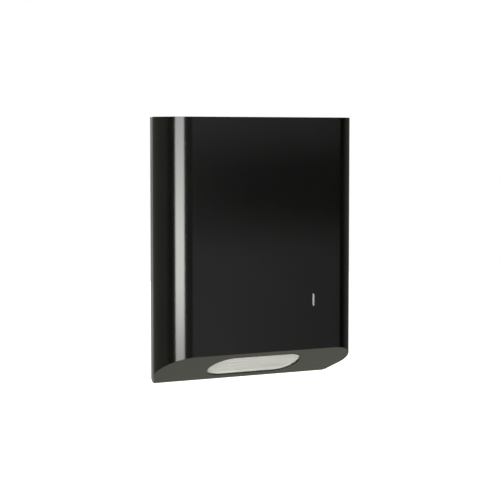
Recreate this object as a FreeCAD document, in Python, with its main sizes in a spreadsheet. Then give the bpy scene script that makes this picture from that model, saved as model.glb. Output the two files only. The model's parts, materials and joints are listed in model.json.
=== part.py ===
import FreeCAD, Part
import math
import os
import types

import Sketcher

# A wall-hung cabinet for folded paper towels. Frame: millimetres, +Z up, X to the right as one faces
# the cabinet, the wall is the plane Y = 0 and the front looks along -Y. The origin is the middle of the
# four wall-screw holes. A depth is a distance from the wall, so it lies at Y = -depth.

doc = FreeCAD.newDocument("towel_cabinet")
sheet = doc.addObject("Spreadsheet::Sheet", "sizes")

SIZES = {
    # cabinet
    "top_height": (187.0, "top edge above the middle of the screw pattern"),
    "heel_drop": (393.9, "from the top down to where the slanted underside would meet the wall"),
    "side_room": (36.5, "from the towels' ends to the widest line of the cover"),
    "latch_room": (8.3, "from the towels to the inside of the front"),
    "wrap_depth": (33.5, "how far the sides curve back behind the widest line"),
    "corner_radius": (44.5, "outside radius of the two long corners"),
    "slope": (30.0, "slant of the underside, degrees"),
    "cover_sheet": (1.2, "sheet of the cover"),
    # wall tray
    "tray_step": (1.3, "how far the tray's sides lie inside the cover's rear edges"),
    "tray_gap": (2.5, "from the tray's flanges forward to the cover's rear edges"),
    "tray_sheet": (1.5, "sheet of the tray"),
    "bend_radius": (9.5, "outside radius of the bottom bend"),
    "screw_spacing_x": (200.0, "wall screws, sideways"),
    "screw_spacing_z": (250.0, "wall screws, up and down"),
    "screw_hole": (5.5, "diameter of the wall-screw holes"),
    # towel slot in the underside and key slot in the front
    "slot_length": (151.0, "towel slot, sideways"),
    "slot_width": (63.5, "towel slot, along the slope"),
    "slot_margin": (15.2, "from the towel slot up the slope to the front"),
    "key_drop": (267.9, "key slot, below the top"),
    "key_length": (18.6, "key slot, upright"),
    "key_width": (4.6, "key slot, sideways"),
    # towels
    "towel_width": (246.0, "folded towels, sideways"),
    "towel_depth": (80.0, "folded towels, front to back"),
    "towel_back": (1.0, "gap between the towels and the tray"),
    "towel_top": (44.0, "top of the stack above the origin"),
    "towel_gap": (0.3, "gap between the towels and what they rest on"),
    "bulge_gap": (0.4, "gap between the lowest towel and the bottom plate"),
    "bulge_play": (1.0, "gap round the lowest towel in the cradle's opening"),
    # cradle
    "cradle_sheet": (1.2, "sheet of the cradle"),
    "cradle_lift": (2.5, "gap between the bottom plate and the cradle"),
    "cradle_side": (4.4, "from the cradle's sides to the inside of the cover's rear edges"),
    "cradle_inset": (3.0, "gap between the cradle's corners and the cover"),
    "cradle_setback": (3.0, "from the tray's flanges forward to the cradle"),
    "opening_margin": (2.75, "how much larger the cradle's opening is than the towel slot, each side"),
    "lip_gap": (4.8, "from the cradle's front lip to the cover"),
    "lip_height": (12.0, "height of the front lip"),
    "buffer_x": (90.0, "rubber buffers from the middle"),
    "buffer_radius": (4.5, "rubber buffers"),
    "buffer_gap": (0.3, "gap between the buffers and the closed cover"),
    "buffer_stem": (2.0, "radius of the buffers' stems"),
    "buffer_bulb": (2.6, "radius of the bulbs that hold the stems"),
    "bulb_length": (1.2, "length of the bulbs"),
    # side guides
    "guide_sheet": (1.2, "sheet of the guides"),
    "guide_gap": (1.0, "gap between the towels and the guides"),
    "guide_setback": (22.5, "from the front of the towels back to the guides' front edges"),
    "guide_top": (70.0, "top edge of the guides above the origin"),
    "guide_flange": (12.0, "width of the guides' flanges"),
    # hinge
    "hinge_setback": (8.0, "from the cover's rear edge forward to the hinge axis"),
    "hinge_inset": (9.4, "from the middle of each ear out to the inside of the cover's rear edge"),
    "ear_radius": (4.0, "round end of the ears, which sets the axis below the top plate"),
    "ear_sheet": (2.0, "sheet of the ears"),
    "ear_length": (26.0, "length of the ears, front to back"),
    "foot_length": (12.0, "length of the ears' feet, front to back"),
    "foot_width": (12.0, "width of the ears' feet"),
    "pin_radius": (1.6, "hinge pins"),
    "pin_play": (0.05, "radial play of the pins in the bushes"),
    "pin_head": (3.0, "radius of the pin heads"),
    "head_length": (1.2, "length of the pin heads"),
    "bush_radius": (2.8, "outside radius of the bushes"),
    "clip_radius": (3.0, "push-on rings on the pins"),
    "clip_length": (1.0, "length of the push-on rings"),
    "hinge_play": (0.6, "side play at each ear"),
    "bracket_sheet": (2.0, "sheet of the hinge brackets"),
    "bracket_radius": (3.6, "round end of the brackets"),
    "bracket_drop": (18.0, "from the hinge axis down to the brackets' arms"),
    "arm_height": (22.0, "height of the brackets' arms"),
    "bracket_flange": (12.0, "width of the brackets' flanges"),
    # latch
    "hook_arm": (26.9, "from the latch pivot to the hook finger"),
    "key_arm": (22.4, "from the latch pivot to the middle of the key slot"),
    "latch_throw": (12.0, "turn between unlocked and locked, degrees"),
    "stud_radius": (3.0, "latch stud"),
    "latch_play": (0.05, "radial play of the lever on the stud"),
    "lever_sheet": (1.8, "sheet of the lever"),
    "lever_stand": (4.0, "from the cover's front sheet to the lever"),
    "lever_play": (0.3, "play of the lever along the stud, each side"),
    "hub_radius": (9.0, "hub of the lever"),
    "lever_half": (6.0, "half the width of the lever's key arm"),
    "hook_side": (1.2, "side gap between the striker's plate and the hook finger"),
    "hook_height": (12.0, "height of the hook finger"),
    "notch_height": (6.0, "height of the notch under the hook finger"),
    "tooth_length": (4.0, "tooth, front to back"),
    "tooth_gap": (1.0, "gap between the tooth and the striker's flange"),
    "spacer_radius": (6.0, "spacer between the cover and the lever"),
    "ring_radius": (5.5, "push-on ring on the stud"),
    "ring_length": (0.8, "length of the push-on ring"),
    "stud_end": (0.3, "how far the stud stands past its ring"),
    "tab_width": (13.0, "bright tab behind the key slot, sideways"),
    "tab_height": (30.0, "bright tab, upright"),
    "tab_gap": (0.6, "gap between the tab and the front sheet"),
    "tab_rivet_place": (12.2, "tab rivets above and below the middle of the tab"),
    "stop_x": (11.0, "stop pins from the latch pivot"),
    "stop_radius": (2.0, "stop pins"),
    "stop_gap": (0.3, "gap between the lever and a stop pin at the end of its turn"),
    # striker
    "striker_sheet": (1.5, "sheet of the striker"),
    "striker_setback": (5.0, "from the lever back to the striker's front face"),
    "striker_overlap": (16.0, "how far the striker lies along the guide"),
    "striker_height": (12.0, "height of the striker"),
    "striker_width": (8.0, "width of the striker's flange"),
    "striker_gap": (0.6, "gap between the unlocked tooth and the striker"),
    # rivets
    "rivet_radius": (1.6, "rivet shanks"),
    "rivet_head": (3.0, "radius of the rivet heads"),
    "rivet_rise": (1.1, "height of the rivet heads"),
    "guide_rivet_drop": (40.0, "from the top of the guides down to their first rivets"),
    "guide_rivet_spacing": (90.0, "between the guides' rivets"),
    "cradle_rivet_spacing": (24.0, "between the cradle's rivets"),
    "bracket_rivet_spacing": (11.0, "between the brackets' rivets"),
    "striker_rivet_spacing": (7.0, "between the striker's rivets"),
}


class Size:
    """A length or an angle: its value now, and the formula on the sheet that keeps it up to date."""

    def __init__(self, value, formula):
        self.value = value
        self.formula = formula

    def __add__(self, other):
        other = size(other)
        return Size(self.value + other.value, f"({self.formula} + {other.formula})")

    def __sub__(self, other):
        other = size(other)
        return Size(self.value - other.value, f"({self.formula} - {other.formula})")

    def __mul__(self, other):
        other = size(other)
        return Size(self.value * other.value, f"({self.formula} * {other.formula})")

    def __truediv__(self, other):
        other = size(other)
        return Size(self.value / other.value, f"({self.formula} / {other.formula})")

    def __neg__(self):
        return self * -1

    def __rmul__(self, other):
        return self * other


def size(number):
    """A Size as it is, or a plain number as a Size."""
    if isinstance(number, Size):
        return number
    return Size(float(number), f"({number})")


def root(number):
    return Size(math.sqrt(number.value), f"sqrt({number.formula})")


def sine(angle):
    return Size(math.sin(math.radians(angle.value)), f"sin({angle.formula} * 1deg)")


def cosine(angle):
    return Size(math.cos(math.radians(angle.value)), f"cos({angle.formula} * 1deg)")


def fill_sheet():
    """Writes each size with its name and meaning into a row, and returns the sizes by name."""
    named = types.SimpleNamespace()
    for row, (name, (value, meaning)) in enumerate(SIZES.items(), start=1):
        sheet.set(f"A{row}", name)
        sheet.set(f"B{row}", str(value))
        sheet.set(f"C{row}", meaning)
        sheet.setAlias(f"B{row}", name)
        setattr(named, name, Size(value, f"sizes.{name}"))
    doc.recompute()
    return named


# ---------------------------------------------------------------- drawing helpers

def new_body(label):
    """An empty body, with room for several separate solids."""
    body = doc.addObject("PartDesign::Body", label)
    body.Label = label
    body.AllowCompound = True
    return body


def new_sketch(body, plane, offset=None):
    """Sketch on an origin plane of its body: XY (offset up), XZ (offset is a depth) or YZ (offset right)."""
    sketch = body.newObject("Sketcher::SketchObject", body.Label + "_sketch")
    planes = [item for item in body.Origin.OriginFeatures if item.Role == plane + "_Plane"]
    sketch.AttachmentSupport = [(planes[0], "")]
    sketch.MapMode = "FlatFace"
    if offset is not None:
        sketch.setExpression("AttachmentOffset.Base.z", offset.formula)
    return sketch


def slope_sketch(body, lift):
    """Sketch parallel to the underside, lifted off its outside; its points are (x, -way up the slope)."""
    sketch = new_sketch(body, "XY")
    turn = FreeCAD.Rotation(FreeCAD.Vector(-1, 0, 0), s.slope.value)
    sketch.AttachmentOffset = FreeCAD.Placement(FreeCAD.Vector(0, 0, 0), turn)
    sketch.setExpression("AttachmentOffset.Rotation.Angle", s.slope.formula)
    sketch.setExpression("AttachmentOffset.Base.y", (lift * sine(s.slope)).formula)
    sketch.setExpression("AttachmentOffset.Base.z", (heel + lift * cosine(s.slope)).formula)
    return sketch


def bind(sketch, kind, place, value):
    """Adds a constraint and ties it to a formula."""
    number = sketch.addConstraint(Sketcher.Constraint(kind, *place, value.value))
    sketch.setExpression(f"Constraints[{number}]", value.formula)


def pin_point(sketch, edge, end, corner):
    bind(sketch, "DistanceX", (-1, 1, edge, end), size(corner[0]))
    bind(sketch, "DistanceY", (-1, 1, edge, end), size(corner[1]))


def vector(corner):
    return FreeCAD.Vector(size(corner[0]).value, size(corner[1]).value, 0)


def draw_arc(sketch, start, stop, centre, radius):
    """Arc the short way from start to stop; returns the edge and its ends at start and at stop."""
    first = (vector(start) - vector(centre))
    last = (vector(stop) - vector(centre))
    first_angle = math.atan2(first.y, first.x)
    last_angle = math.atan2(last.y, last.x)
    turn = (last_angle - first_angle + math.pi) % (2 * math.pi) - math.pi
    circle = Part.Circle(vector(centre), FreeCAD.Vector(0, 0, 1), radius.value)
    if turn > 0:
        edge = sketch.addGeometry(Part.ArcOfCircle(circle, first_angle, first_angle + turn))
        ends = (1, 2)
    else:
        edge = sketch.addGeometry(Part.ArcOfCircle(circle, last_angle, last_angle - turn))
        ends = (2, 1)
    bind(sketch, "Radius", (edge,), radius)
    return edge, ends[0], ends[1]


def draw_outline(sketch, corners, arcs=None):
    """Closed outline through the corners. arcs gives (centre, radius) for the stretch after a corner."""
    arcs = arcs or {}
    edges = []
    for number, start in enumerate(corners):
        stop = corners[(number + 1) % len(corners)]
        if number in arcs:
            edges.append(draw_arc(sketch, start, stop, *arcs[number]))
        else:
            line = sketch.addGeometry(Part.LineSegment(vector(start), vector(stop)))
            edges.append((line, 1, 2))
    for number, corner in enumerate(corners):
        edge, begin, _ = edges[number]
        before, _, end = edges[number - 1]
        sketch.addConstraint(Sketcher.Constraint("Coincident", before, end, edge, begin))
        pin_point(sketch, edge, begin, corner)


def draw_box(sketch, low, high):
    """Rectangle between two corners."""
    draw_outline(sketch, [low, (high[0], low[1]), high, (low[0], high[1])])


def draw_circles(sketch, spots, radius):
    for spot in spots:
        edge = sketch.addGeometry(Part.Circle(vector(spot), FreeCAD.Vector(0, 0, 1), radius.value))
        pin_point(sketch, edge, 3, spot)
        bind(sketch, "Radius", (edge,), radius)


def draw_obround(sketch, middle, length, width, upright=False):
    """Slot shape with half-round ends."""
    radius = width / 2
    reach = length / 2 - radius
    across = size(middle[0])
    along = size(middle[1])
    if upright:
        centres = [(across, along - reach), (across, along + reach)]
        first_angle = math.pi
    else:
        centres = [(across + reach, along), (across - reach, along)]
        first_angle = -math.pi / 2
    ends = []
    for number, centre in enumerate(centres):
        circle = Part.Circle(vector(centre), FreeCAD.Vector(0, 0, 1), radius.value)
        begin = first_angle + number * math.pi
        ends.append(sketch.addGeometry(Part.ArcOfCircle(circle, begin, begin + math.pi)))
        pin_point(sketch, ends[number], 3, centre)
    curves = [sketch.Geometry[end] for end in ends]
    sides = []
    for first, second in ((0, 1), (1, 0)):
        line = Part.LineSegment(curves[first].EndPoint, curves[second].StartPoint)
        sides.append(sketch.addGeometry(line))
    for number in (0, 1):
        sketch.addConstraint(Sketcher.Constraint("Tangent", ends[number], 2, sides[number], 1))
        sketch.addConstraint(Sketcher.Constraint("Tangent", sides[number], 2, ends[1 - number], 1))
    bind(sketch, "Radius", (ends[0],), radius)


def pad(body, sketch, length, back=False, both=False):
    """Adds a slab on the sketch: along the plane's normal, back against it, or half to each side."""
    slab = body.newObject("PartDesign::Pad", body.Label + "_pad")
    slab.Profile = sketch
    slab.Reversed = back
    if both:
        slab.SideType = "Symmetric"
    slab.setExpression("Length", size(length).formula)
    return slab


def pocket(body, sketch, length):
    """Cuts the sketch out of the body, half the length to each side of its plane."""
    hole = body.newObject("PartDesign::Pocket", body.Label + "_pocket")
    hole.Profile = sketch
    hole.SideType = "Symmetric"
    hole.setExpression("Length", size(length).formula)
    return hole


def drill(body, plane, offset, spots, radius, reach):
    """Round holes at the spots, through everything within half the reach of the plane."""
    sketch = new_sketch(body, plane, offset)
    draw_circles(sketch, spots, radius)
    pocket(body, sketch, reach)


def disc(body, plane, offset, spots, radius, length, back=False):
    """Round slabs at the spots."""
    sketch = new_sketch(body, plane, offset)
    draw_circles(sketch, spots, radius)
    pad(body, sketch, length, back)


def block(body, plane, offset, low, high, length, back=False, both=False):
    """Rectangular slab."""
    sketch = new_sketch(body, plane, offset)
    draw_box(sketch, low, high)
    pad(body, sketch, length, back, both)


s = fill_sheet()

# ---------------------------------------------------------------- places shared by several pieces

top = s.top_height
heel = top - s.heel_drop
inner_top = top - s.cover_sheet
stack_rear = s.tray_sheet + s.towel_back
stack_front = stack_rear + s.towel_depth
inner_front = stack_front + s.latch_room
front = inner_front + s.cover_sheet
widest = s.towel_width + s.side_room * 2
front_half = widest / 2 - s.corner_radius
corner_depth = front - s.corner_radius
cover_rear = corner_depth - s.wrap_depth
tray_depth = cover_rear - s.tray_gap
bend_height = heel + s.bend_radius * (sine(s.slope) + 1) / cosine(s.slope)
slot_place = front / cosine(s.slope) - s.slot_margin - s.slot_width / 2


def slope_height(depth, lift):
    """Height, at a depth, of the plane that lies the lift above the outside of the slanted underside."""
    return heel + (depth * sine(s.slope) + lift) / cosine(s.slope)


def corner_x(depth, inset):
    """Half width of the cover at a depth, the inset inside its outer face, where its corners curve."""
    radius = s.corner_radius - inset
    away = corner_depth - depth
    return front_half + root(radius * radius - away * away)


outer_rear_x = corner_x(cover_rear, size(0))
inner_rear_x = corner_x(cover_rear, s.cover_sheet)
tray_half = outer_rear_x - s.tray_step

guide_x = s.towel_width / 2 + s.guide_gap
guide_out = guide_x + s.guide_sheet
guide_reach = stack_front - s.guide_setback
cradle_half = inner_rear_x - s.cradle_side
cradle_rear = tray_depth + s.cradle_setback
cradle_low = s.cover_sheet + s.cradle_lift
cradle_high = cradle_low + s.cradle_sheet
lip_front = inner_front - s.lip_gap
lip_rear = lip_front - s.cradle_sheet

hinge_depth = cover_rear + s.hinge_setback
hinge_height = inner_top - s.ear_radius
hinge_spot = (-hinge_depth, hinge_height)
ear_out = inner_rear_x - s.hinge_inset + s.ear_sheet / 2
ear_in = ear_out - s.ear_sheet
bracket_x = ear_out + s.hinge_play
bracket_out = bracket_x + s.bracket_sheet
arm_top = hinge_height - s.bracket_drop

striker_x = guide_out + s.striker_sheet
hook_x = striker_x + s.hook_side
hook_out = hook_x + s.lever_sheet
pivot_x = hook_x - s.hook_arm
key_x = pivot_x - s.key_arm
key_height = top - s.key_drop
pivot_spot = (pivot_x, key_height)
lever_front = inner_front - s.lever_stand
lever_rear = lever_front - s.lever_sheet
striker_front = lever_rear - s.striker_setback
tooth_front = striker_front - s.striker_sheet - s.tooth_gap
striker_top = key_height - s.striker_gap
stop_low = key_height - s.lever_half - s.stop_radius - s.stop_gap
stop_high = key_height + (s.lever_half + s.stop_radius + s.stop_gap
                          + s.stop_x * sine(s.latch_throw)) / cosine(s.latch_throw)

guide_rivet_x = guide_out + s.guide_flange / 2
guide_rivet_heights = [s.guide_top - s.guide_rivet_drop - s.guide_rivet_spacing * count for count in range(3)]
guide_rivet_spots = [(side * guide_rivet_x, height) for side in (-1, 1) for height in guide_rivet_heights]
cradle_rivet_way = slot_place - s.cradle_rivet_spacing
cradle_rivet_spots = [(side * guide_rivet_x, -way) for side in (-1, 1)
                      for way in (cradle_rivet_way, cradle_rivet_way + s.cradle_rivet_spacing)]
bracket_rivet_x = bracket_x - s.bracket_flange / 2
bracket_rivet_top = arm_top - (s.arm_height - s.bracket_rivet_spacing) / 2
bracket_rivet_spots = [(side * bracket_rivet_x, height) for side in (-1, 1)
                       for height in (bracket_rivet_top, bracket_rivet_top - s.bracket_rivet_spacing)]
striker_rivet_y = -guide_reach + s.striker_overlap / 2
striker_rivet_z = striker_top - s.striker_height / 2
striker_rivet_spots = [(striker_rivet_y + half * s.striker_rivet_spacing / 2, striker_rivet_z)
                       for half in (-1, 1)]
tab_rivet_spots = [(key_x, key_height + half * s.tab_rivet_place) for half in (-1, 1)]
buffer_height = slope_height(lip_front, cradle_high) + s.lip_height / 2
buffer_spots = [(side * s.buffer_x, buffer_height) for side in (-1, 1)]
screw_spots = [(side * s.screw_spacing_x / 2, level * s.screw_spacing_z / 2)
               for side in (-1, 1) for level in (-1, 1)]


# ---------------------------------------------------------------- wall side

def wall_tray():
    """Back plate with short flanges all round; the bottom flange is one round bend."""
    body = new_body("wall_tray")
    centre = (-s.bend_radius, bend_height)
    for inset, cutting in ((size(0), False), (s.tray_sheet, True)):
        radius = s.bend_radius - inset
        mouth = tray_depth + inset
        away = tray_depth - s.bend_radius
        low = bend_height - root(radius * radius - away * away)
        corners = [(-inset, top - inset), (-inset, bend_height), (-tray_depth, low)]
        if cutting:
            corners.append((-mouth, low))
        corners.append((-mouth, top - inset))
        sketch = new_sketch(body, "YZ")
        draw_outline(sketch, corners, {1: (centre, radius)})
        width = (tray_half - inset) * 2
        if cutting:
            pocket(body, sketch, width)
        else:
            pad(body, sketch, width, both=True)
    drill(body, "XZ", None, screw_spots, s.screw_hole / 2, tray_depth)
    drill(body, "XZ", None, guide_rivet_spots + bracket_rivet_spots, s.rivet_radius, tray_depth)
    return body


def towel_cradle():
    """Slanted shelf that the towels stand on, with an opening for the lowest one and a front lip."""
    body = new_body("towel_cradle")
    half = cradle_half
    inset = s.cover_sheet + s.cradle_inset
    radius = s.corner_radius - inset
    corner_front = corner_x(size(lip_rear), inset)
    sideways = half - front_half
    side_depth = corner_depth + root(radius * radius - sideways * sideways)
    sketch = new_sketch(body, "XY", heel)
    draw_outline(
        sketch,
        [(half, -cradle_rear), (half, -side_depth), (corner_front, -lip_rear),
         (-corner_front, -lip_rear), (-half, -side_depth), (-half, -cradle_rear)],
        {1: ((front_half, -corner_depth), radius), 3: ((-front_half, -corner_depth), radius)},
    )
    pad(body, sketch, front)
    for low, high in ((None, cradle_low), (cradle_high, None)):
        sketch = new_sketch(body, "YZ")
        rear = cradle_rear - s.cradle_sheet
        if low is None:
            corners = [(-rear, slope_height(rear, high)), (-front, slope_height(front, high)),
                       (-front, heel - s.cradle_sheet), (-rear, heel - s.cradle_sheet)]
        else:
            level = heel + front * 2
            corners = [(-rear, slope_height(rear, low)), (-front, slope_height(front, low)),
                       (-front, level), (-rear, level)]
        draw_outline(sketch, corners)
        pocket(body, sketch, widest)
    sketch = new_sketch(body, "YZ")
    lip_top = slope_height(lip_front, cradle_high) + s.lip_height
    draw_outline(sketch, [(-lip_rear, slope_height(lip_rear, cradle_low)), (-lip_rear, lip_top),
                          (-lip_front, lip_top), (-lip_front, slope_height(lip_front, cradle_low))])
    pad(body, sketch, front_half * 2, both=True)
    sketch = slope_sketch(body, size(0))
    draw_obround(sketch, (0, -slot_place), s.slot_length + s.opening_margin * 2,
                 s.slot_width + s.opening_margin * 2)
    pocket(body, sketch, s.corner_radius)
    sketch = slope_sketch(body, cradle_high)
    draw_circles(sketch, cradle_rivet_spots, s.rivet_radius)
    pocket(body, sketch, s.cradle_sheet * 4)
    drill(body, "XZ", lip_front, buffer_spots, s.buffer_stem, s.cradle_sheet * 4)
    return body


def side_guide(label, side):
    """Upright plate beside the towels, with a flange on the tray and one on the cradle."""
    body = new_body(label)
    back = side < 0
    rear = s.tray_sheet
    corners = [(-rear, s.guide_top), (-guide_reach, s.guide_top),
               (-guide_reach, slope_height(guide_reach, cradle_high)),
               (-cradle_rear, slope_height(cradle_rear, cradle_high)), (-rear, bend_height)]
    sketch = new_sketch(body, "YZ", side * guide_x)
    draw_outline(sketch, corners)
    pad(body, sketch, s.guide_sheet, back)
    block(body, "XZ", rear, (side * guide_out, bend_height),
          (side * (guide_out + s.guide_flange), s.guide_top), s.guide_sheet)
    shelf = cradle_high + s.guide_sheet
    sketch = new_sketch(body, "YZ", side * guide_out)
    draw_outline(sketch, [(-cradle_rear, slope_height(cradle_rear, cradle_high)),
                          (-guide_reach, slope_height(guide_reach, cradle_high)),
                          (-guide_reach, slope_height(guide_reach, shelf)),
                          (-cradle_rear, slope_height(cradle_rear, shelf))])
    pad(body, sketch, s.guide_flange, back)
    spots = [spot for spot in guide_rivet_spots if spot[0].value * side > 0]
    drill(body, "XZ", rear, spots, s.rivet_radius, s.guide_sheet * 4)
    sketch = slope_sketch(body, cradle_high)
    draw_circles(sketch, [spot for spot in cradle_rivet_spots if spot[0].value * side > 0], s.rivet_radius)
    pocket(body, sketch, s.guide_sheet * 4)
    if side > 0:
        drill(body, "YZ", guide_x, striker_rivet_spots, s.rivet_radius, s.guide_sheet * 4)
    return body


def hinge_bracket(label, side):
    """Bent bracket: a flange on the tray, an arm forward, and a finger up to the hinge pin."""
    body = new_body(label)
    back = side < 0
    place = side * bracket_x
    finger = s.bracket_radius
    low = arm_top - s.arm_height
    block(body, "YZ", place, (-hinge_depth - finger, low), (-s.tray_sheet, arm_top),
          s.bracket_sheet, back)
    block(body, "YZ", place, (-hinge_depth - finger, arm_top - finger),
          (-hinge_depth + finger, hinge_height), s.bracket_sheet, back)
    disc(body, "YZ", place, [hinge_spot], finger, s.bracket_sheet, back)
    block(body, "XZ", s.tray_sheet, (place - side * s.bracket_flange, low), (place, arm_top),
          s.bracket_sheet)
    drill(body, "YZ", place, [hinge_spot], s.pin_radius, s.bracket_sheet * 4)
    spots = [spot for spot in bracket_rivet_spots if spot[0].value * side > 0]
    drill(body, "XZ", s.tray_sheet, spots, s.rivet_radius, s.bracket_sheet * 4)
    return body


def hinge_pin(label, side):
    """Headed pin through the bracket and the ear's bush, with room for its ring at the inner end."""
    body = new_body(label)
    back = side < 0
    inner = ear_in - s.hinge_play - s.clip_length
    start = inner - s.pin_radius / 2
    disc(body, "YZ", side * start, [hinge_spot], s.pin_radius, bracket_out - start, back)
    disc(body, "YZ", side * bracket_out, [hinge_spot], s.pin_head, s.head_length, back)
    return body


def hinge_clips():
    """Push-on rings at the inner ends of both pins."""
    body = new_body("hinge_clips")
    inner = ear_in - s.hinge_play
    for side in (-1, 1):
        disc(body, "YZ", side * inner, [hinge_spot], s.clip_radius, s.clip_length, side > 0)
    drill(body, "YZ", None, [hinge_spot], s.pin_radius, widest)
    return body


def striker():
    """Bracket on the right guide; the latch tooth drops behind its front flange."""
    body = new_body("striker")
    low = striker_top - s.striker_height
    block(body, "YZ", guide_out, (-striker_front, low),
          (-guide_reach + s.striker_overlap, striker_top), s.striker_sheet)
    block(body, "XZ", striker_front, (guide_out, low), (guide_out + s.striker_width, striker_top),
          s.striker_sheet, back=True)
    drill(body, "YZ", guide_out, striker_rivet_spots, s.rivet_radius, s.striker_sheet * 4)
    return body


def cover_buffers():
    """Two rubber buffers in the cradle's lip, which the closing cover meets."""
    body = new_body("cover_buffers")
    disc(body, "XZ", lip_front, buffer_spots, s.buffer_radius, s.lip_gap - s.buffer_gap)
    disc(body, "XZ", lip_front, buffer_spots, s.buffer_stem, s.cradle_sheet, back=True)
    disc(body, "XZ", lip_rear, buffer_spots, s.buffer_bulb, s.bulb_length, back=True)
    return body


def wall_rivets(label, spots, grip):
    """Rivets from the flush back of the tray forward through the grip, with heads in front."""
    body = new_body(label)
    disc(body, "XZ", None, spots, s.rivet_radius, grip)
    disc(body, "XZ", grip, spots, s.rivet_head, s.rivet_rise)
    return body


def cradle_rivets():
    """Rivets through the cradle and the guides' lower flanges, flush underneath."""
    body = new_body("cradle_rivets")
    head = cradle_high + s.guide_sheet
    sketch = slope_sketch(body, cradle_low)
    draw_circles(sketch, cradle_rivet_spots, s.rivet_radius)
    pad(body, sketch, head - cradle_low)
    sketch = slope_sketch(body, head)
    draw_circles(sketch, cradle_rivet_spots, s.rivet_head)
    pad(body, sketch, s.rivet_rise)
    return body


def striker_rivets():
    """Rivets from the flush inside of the right guide out through the striker."""
    body = new_body("striker_rivets")
    disc(body, "YZ", guide_x, striker_rivet_spots, s.rivet_radius, striker_x - guide_x)
    disc(body, "YZ", striker_x, striker_rivet_spots, s.rivet_head, s.rivet_rise)
    return body


def towel_stack():
    """Folded towels on the cradle; the lowest one sags through its opening to the towel slot."""
    body = new_body("towel_stack")
    foot = cradle_high + s.towel_gap
    rear_foot = slope_height(cradle_rear, foot)
    sketch = new_sketch(body, "YZ")
    draw_outline(sketch, [(-stack_rear, s.towel_top), (-stack_front, s.towel_top),
                          (-stack_front, slope_height(stack_front, foot)), (-cradle_rear, rear_foot),
                          (-stack_rear, rear_foot)])
    pad(body, sketch, s.towel_width, both=True)
    low = s.cover_sheet + s.bulge_gap
    sketch = slope_sketch(body, low)
    margin = (s.opening_margin - s.bulge_play) * 2
    draw_obround(sketch, (0, -slot_place), s.slot_length + margin, s.slot_width + margin)
    pad(body, sketch, foot + s.cradle_sheet - low)
    return body


# ---------------------------------------------------------------- cover side

def cover_wrap():
    """Front and both rounded sides in one bent sheet, cut off along the slope, with the key slot."""
    body = new_body("cover_wrap")
    inner_radius = s.corner_radius - s.cover_sheet
    right = (front_half, -corner_depth)
    left = (-front_half, -corner_depth)
    sketch = new_sketch(body, "XY", top)
    draw_outline(
        sketch,
        [(outer_rear_x, -cover_rear), (front_half, -front), (-front_half, -front),
         (-outer_rear_x, -cover_rear), (-inner_rear_x, -cover_rear), (-front_half, -inner_front),
         (front_half, -inner_front), (inner_rear_x, -cover_rear)],
        {0: (right, s.corner_radius), 2: (left, s.corner_radius),
         4: (left, inner_radius), 6: (right, inner_radius)},
    )
    pad(body, sketch, s.heel_drop, back=True)
    sketch = new_sketch(body, "YZ")
    past = front + s.corner_radius
    low = heel - s.corner_radius
    draw_outline(sketch, [(0, heel), (-past, slope_height(past, size(0))), (-past, low), (0, low)])
    pocket(body, sketch, widest * 2)
    sketch = new_sketch(body, "XZ", front)
    draw_obround(sketch, (key_x, key_height), s.key_length, s.key_width, upright=True)
    pocket(body, sketch, s.cover_sheet * 4)
    return body


def inner_outline(sketch):
    """Outline of the space inside the cover, seen from above."""
    inner_radius = s.corner_radius - s.cover_sheet
    draw_outline(
        sketch,
        [(inner_rear_x, -cover_rear), (front_half, -inner_front), (-front_half, -inner_front),
         (-inner_rear_x, -cover_rear)],
        {0: ((front_half, -corner_depth), inner_radius), 2: ((-front_half, -corner_depth), inner_radius)},
    )


def cover_top():
    """Top plate, welded in flush with the top edge of the wrap."""
    body = new_body("cover_top")
    sketch = new_sketch(body, "XY", top)
    inner_outline(sketch)
    pad(body, sketch, s.cover_sheet, back=True)
    return body


def cover_bottom():
    """Slanted bottom plate, welded in flush with the lower edge of the wrap, with the towel slot."""
    body = new_body("cover_bottom")
    sketch = new_sketch(body, "XY", heel)
    inner_outline(sketch)
    pad(body, sketch, front)
    past = front + s.cover_sheet
    low = heel - s.cover_sheet
    high = heel + front * 2
    sketch = new_sketch(body, "YZ")
    draw_outline(sketch, [(0, heel), (-past, slope_height(past, size(0))), (-past, low), (0, low)])
    pocket(body, sketch, widest)
    sketch = new_sketch(body, "YZ")
    draw_outline(sketch, [(0, slope_height(size(0), s.cover_sheet)),
                          (-past, slope_height(past, s.cover_sheet)), (-past, high), (0, high)])
    pocket(body, sketch, widest)
    sketch = slope_sketch(body, size(0))
    draw_obround(sketch, (0, -slot_place), s.slot_length, s.slot_width)
    pocket(body, sketch, s.corner_radius)
    return body


def hinge_ear(label, side):
    """Tab under the top plate: a foot welded to the plate and a round end for the bush."""
    body = new_body(label)
    back = side < 0
    place = side * (ear_in)
    rear = -hinge_depth + s.ear_radius
    block(body, "YZ", place, (rear - s.ear_length, hinge_height), (rear, inner_top), s.ear_sheet, back)
    disc(body, "YZ", place, [hinge_spot], s.ear_radius, s.ear_sheet, back)
    foot = rear - s.ear_length
    block(body, "XY", inner_top, (place - side * s.foot_width, foot), (place, foot + s.foot_length),
          s.ear_sheet, back=True)
    drill(body, "YZ", place, [hinge_spot], s.bush_radius, s.ear_sheet * 4)
    return body


def hinge_bush(label, side):
    """Plastic bush pressed into the ear; the pin runs in it."""
    body = new_body(label)
    place = side * (ear_in)
    disc(body, "YZ", place, [hinge_spot], s.bush_radius, s.ear_sheet, side < 0)
    drill(body, "YZ", place, [hinge_spot], s.pin_radius + s.pin_play, s.ear_sheet * 4)
    return body


def latch_stud():
    """Stud welded to the inside of the front; the lever turns on it."""
    body = new_body("latch_stud")
    length = s.lever_stand + s.lever_sheet + s.lever_play + s.ring_length + s.stud_end
    disc(body, "XZ", inner_front, [pivot_spot], s.stud_radius, length, back=True)
    return body


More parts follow.
